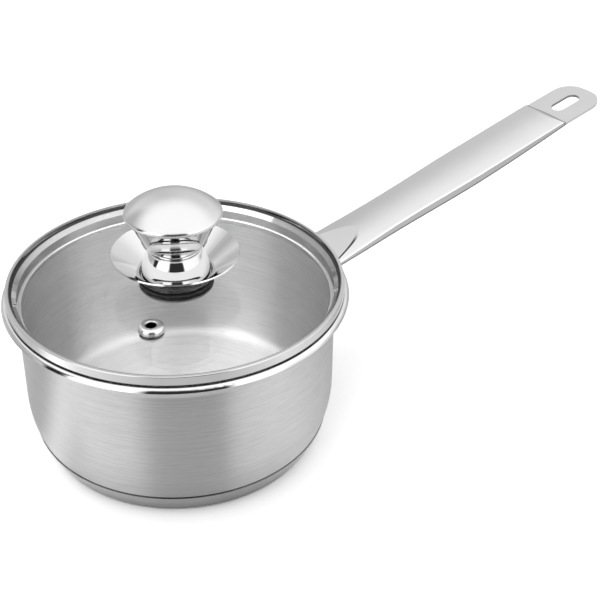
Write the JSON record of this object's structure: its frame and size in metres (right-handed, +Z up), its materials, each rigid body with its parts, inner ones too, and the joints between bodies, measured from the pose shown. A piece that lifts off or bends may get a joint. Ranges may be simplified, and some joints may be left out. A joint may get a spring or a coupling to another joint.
{
  "type": "saucepan with glass lid",
  "caption": "Stainless-steel saucepan with a long strip handle and a flat glass lid with a steel rim band, steam vent and knob, for heating food on a hob.",
  "frame": {"origin": "centre of the flat underside of the base, on the pot's axis", "axes": "+Z up along the pot's axis, +X along the handle, away from the pot"},
  "size_m": [0.3939, 0.1762, 0.1406],
  "materials": {
    "pot_steel": "satin, brushed round the pot",
    "base_steel": "polished",
    "core_aluminium": "plain, enclosed",
    "handle_steel": "mirror-polished stainless steel",
    "lid_glass": "clear, tempered",
    "band_steel": "polished",
    "vent_steel": "polished",
    "knob_steel": "mirror-polished stainless steel",
    "screw_steel": "zinc-plated",
    "silicone": "matte, dark grey"
  },
  "bodies": {
    "pan": {"pot_shell": "pot_steel", "base_core": "core_aluminium", "base_cap": "base_steel", "handle": "handle_steel"},
    "lid": {"glass_panel": "lid_glass", "lid_rim_band": "band_steel", "vent_eyelet": "vent_steel", "vent_backing_ring": "vent_steel", "upper_gasket": "silicone", "lower_gasket": "silicone", "screw_washer": "screw_steel", "knob_screw": "screw_steel", "knob_saucer": "knob_steel", "knob_bulb": "knob_steel", "knob_waist_ring": "knob_steel", "knob_cone": "knob_steel", "knob_cap": "knob_steel", "knob_insert": "screw_steel"}
  },
  "joints": [
    {"name": "lid_lift", "type": "slide", "parent": "pan", "child": "lid", "axis": [0, 0, 1], "range_m": [0, 0.15]}
  ]
}
